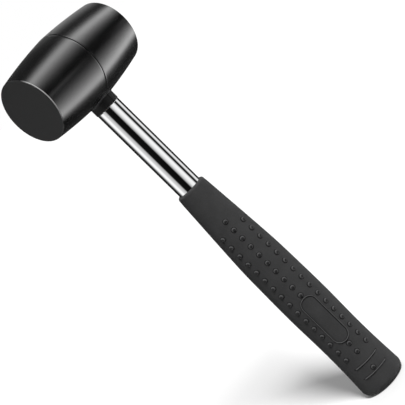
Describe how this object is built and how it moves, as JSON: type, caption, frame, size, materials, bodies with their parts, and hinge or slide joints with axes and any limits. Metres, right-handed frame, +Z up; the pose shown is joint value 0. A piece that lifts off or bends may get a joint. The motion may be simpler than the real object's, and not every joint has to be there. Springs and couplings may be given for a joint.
{
  "type": "rubber mallet",
  "caption": "Mallet with a solid rubber barrel head on a straight chromed steel tube, and a moulded rubber grip with raised nubs, a blank panel and ribs near its butt.",
  "frame": {"origin": "centre of the butt's flat end, on the surface that the mallet stands on", "axes": "+Z up the handle to the head, +X along the head to its rear striking face, Y across the head"},
  "size_m": [0.0934, 0.0586, 0.3418],
  "materials": {
    "head_rubber": "smooth moulded black rubber, satin",
    "grip_rubber": "matt moulded dark grey rubber",
    "chrome": "bright chrome plate",
    "zinc_steel": "plain zinc-plated steel",
    "beech": "bare turned beech",
    "black_plastic": "moulded black plastic"
  },
  "bodies": {
    "root": {"head": "head_rubber", "eye_cap": "head_rubber", "eye_washer": "zinc_steel", "handle_tube": "chrome", "core_dowel": "beech", "steel_wedge": "zinc_steel", "tube_end_plug": "black_plastic", "grip": "grip_rubber"}
  },
  "joints": []
}
